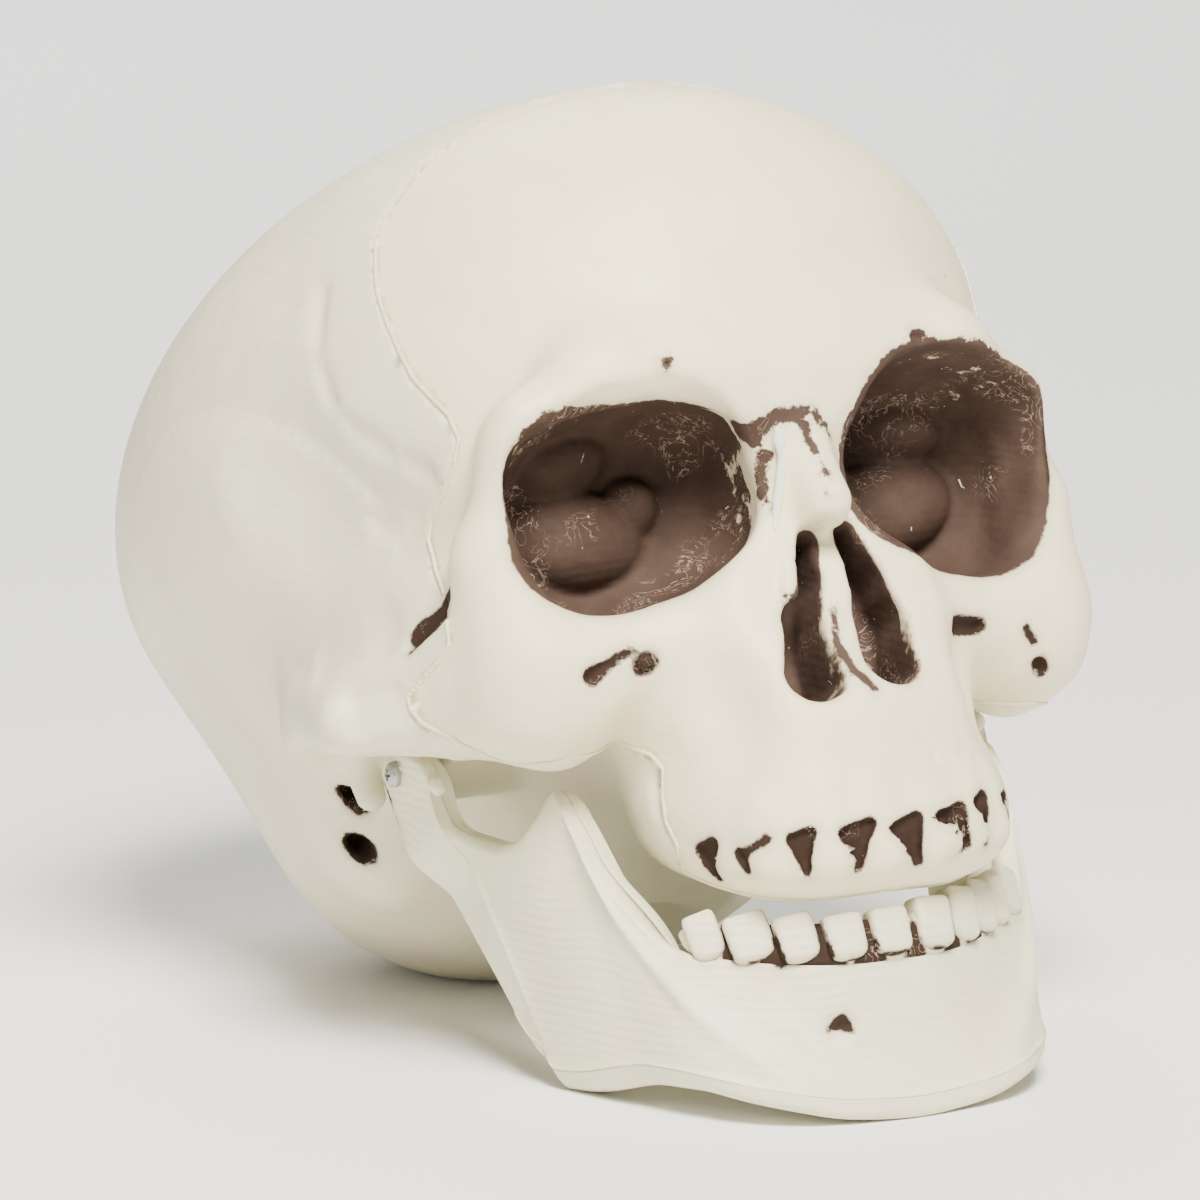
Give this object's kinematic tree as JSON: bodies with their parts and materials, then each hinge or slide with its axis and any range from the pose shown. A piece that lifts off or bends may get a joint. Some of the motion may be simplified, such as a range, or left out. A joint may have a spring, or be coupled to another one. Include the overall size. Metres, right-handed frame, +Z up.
{
  "type": "human skull model",
  "caption": "Life-size plastic human skull with thin moulded shells, brown-stained sockets and a lower jaw that swings open on screws.",
  "frame": {"origin": "middle of the object's plan at the level it stands on: the chin, the jaw's corners and the flat under the nape", "axes": "+Z up, the face looks toward -Y, +X is the skull's left; the head is tilted back as it stands"},
  "size_m": [0.1466, 0.2142, 0.1614],
  "materials": {
    "cream_plastic": "matt cream, brown paint in the sockets and tooth gaps",
    "case_plastic": "matt cream",
    "jaw_plastic": "matt cream, slightly grey, brown paint between the teeth",
    "inner_jaw_plastic": "matt cream, slightly grey",
    "screw_steel": "dull grey steel"
  },
  "bodies": {
    "head": {"face_shell": "cream_plastic", "cranium_shell": "case_plastic", "hinge_screw_right": "screw_steel", "hinge_screw_left": "screw_steel"},
    "jaw": {"jaw_outer_shell": "jaw_plastic", "jaw_inner_shell": "inner_jaw_plastic"}
  },
  "joints": [
    {"name": "jaw_hinge", "type": "hinge", "parent": "head", "child": "jaw", "pos_m": [0, -0.02484, 0.04929], "axis": [1, 0, 0], "range_deg": [-0.3, 18]}
  ]
}
